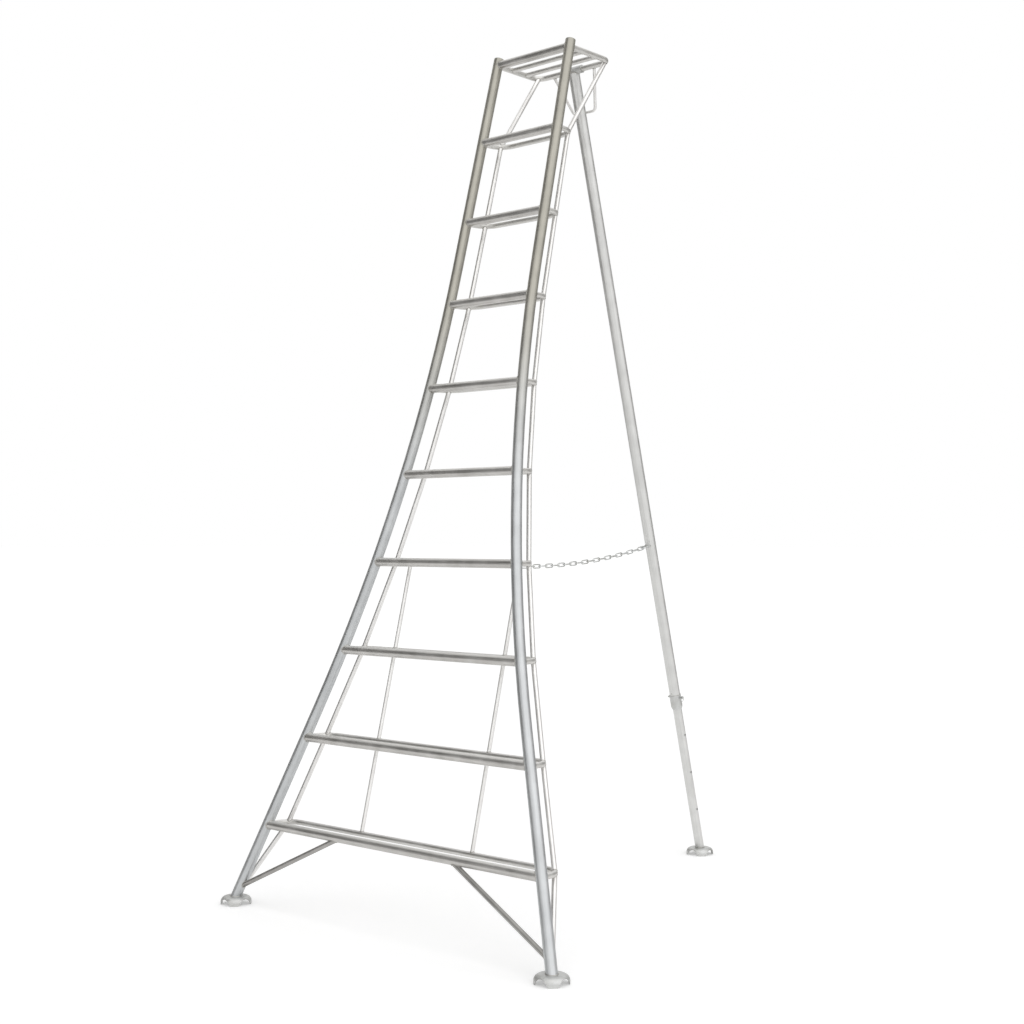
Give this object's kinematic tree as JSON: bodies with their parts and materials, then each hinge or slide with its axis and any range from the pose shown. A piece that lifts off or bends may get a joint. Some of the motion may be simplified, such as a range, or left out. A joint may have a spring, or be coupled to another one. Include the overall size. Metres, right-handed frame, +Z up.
{
  "type": "tripod orchard ladder",
  "caption": "Tripod orchard ladder of welded round tube: a flared front frame of bow-backed rungs, a small platform, and a telescoping rear leg held by a chain.",
  "frame": {"origin": "on the ground, midway between the front feet and the rear foot", "axes": "+Z up, +Y from the climber to the rear leg, +X to the climber's right"},
  "size_m": [1.4798, 1.7828, 2.9137],
  "materials": {
    "tube": "satin, as drawn",
    "fitting": "dull",
    "zinc": "zinc plated",
    "plastic": "matt"
  },
  "bodies": {
    "frame": {"stile_left": "tube", "stile_right": "tube", "stile_cap_left": "fitting", "stile_cap_right": "fitting", "rung_1": "tube", "rung_2": "tube", "rung_3": "tube", "rung_4": "tube", "rung_5": "tube", "rung_6": "tube", "rung_7": "tube", "rung_8": "tube", "rung_9": "tube", "bow_1": "tube", "bow_2": "tube", "bow_3": "tube", "bow_4": "tube", "bow_5": "tube", "bow_6": "tube", "bow_7": "tube", "bow_8": "tube", "bow_9": "tube", "platform_front_tube": "tube", "platform_frame": "tube", "platform_slat_front": "tube", "platform_slat_rear": "tube", "rail_left": "tube", "rail_right": "tube", "platform_stay_left": "tube", "platform_stay_right": "tube", "foot_stay_left": "tube", "foot_stay_right": "tube", "strut_left": "tube", "strut_right": "tube", "foot_brace_left": "tube", "foot_brace_right": "tube", "foot_left": "fitting", "foot_right": "fitting", "stop_loop": "tube", "frame_eye": "zinc"},
    "leg": {"leg_tube": "tube", "hinge_sleeve": "fitting", "leg_eye": "zinc", "lock_collar": "fitting", "guide_bush": "plastic", "bush_rivet": "zinc"},
    "inner_leg": {"inner_tube": "tube", "inner_tube_glide": "plastic", "foot_rear": "fitting"},
    "pin": {"lock_pin": "zinc"},
    "ring": {"pin_ring": "zinc"},
    "front_chain": {"chain_front": "zinc"},
    "middle_chain": {"chain_middle": "zinc"},
    "rear_chain": {"chain_rear": "zinc"}
  },
  "joints": [
    {"name": "leg_fold", "type": "hinge", "parent": "frame", "child": "leg", "pos_m": [0, 0.08873, 2.88372], "axis": [1, 0, 0], "range_deg": [-28, 0], "deforming": ["chain_front", "chain_middle", "chain_rear"]},
    {"name": "leg_slide", "type": "slide", "parent": "leg", "child": "inner_leg", "axis": [0, 0.2554, -0.9668], "range_m": [-0.45, 0.45]},
    {"name": "pin_pull", "type": "slide", "parent": "leg", "child": "pin", "axis": [1, 0, 0], "range_m": [0, 0.053]},
    {"name": "ring_swing", "type": "hinge", "parent": "pin", "child": "ring", "pos_m": [0.03045, 0.68844, 0.61393], "axis": [0, -0.9668, -0.2554], "range_deg": [0, 90]},
    {"name": "front_chain_swing", "type": "hinge", "parent": "frame", "child": "front_chain", "pos_m": [0, -0.45173, 1.13719], "axis": [1, 0, 0], "range_deg": [-96, 1]},
    {"name": "middle_chain_swing", "type": "hinge", "parent": "front_chain", "child": "middle_chain", "pos_m": [0, -0.03415, 1.12149], "axis": [1, 0, 0], "range_deg": [-1, 88]},
    {"name": "rear_chain_swing", "type": "hinge", "parent": "leg", "child": "rear_chain", "pos_m": [0, 0.48608, 1.18016], "axis": [1, 0, 0], "range_deg": [-1, 101]}
  ],
  "couplings": [
    {"joint": "front_chain_swing", "follows": "leg_fold", "ratio": 3.3764},
    {"joint": "middle_chain_swing", "follows": "leg_fold", "ratio": -3.0697},
    {"joint": "rear_chain_swing", "follows": "leg_fold", "ratio": -3.5357}
  ]
}
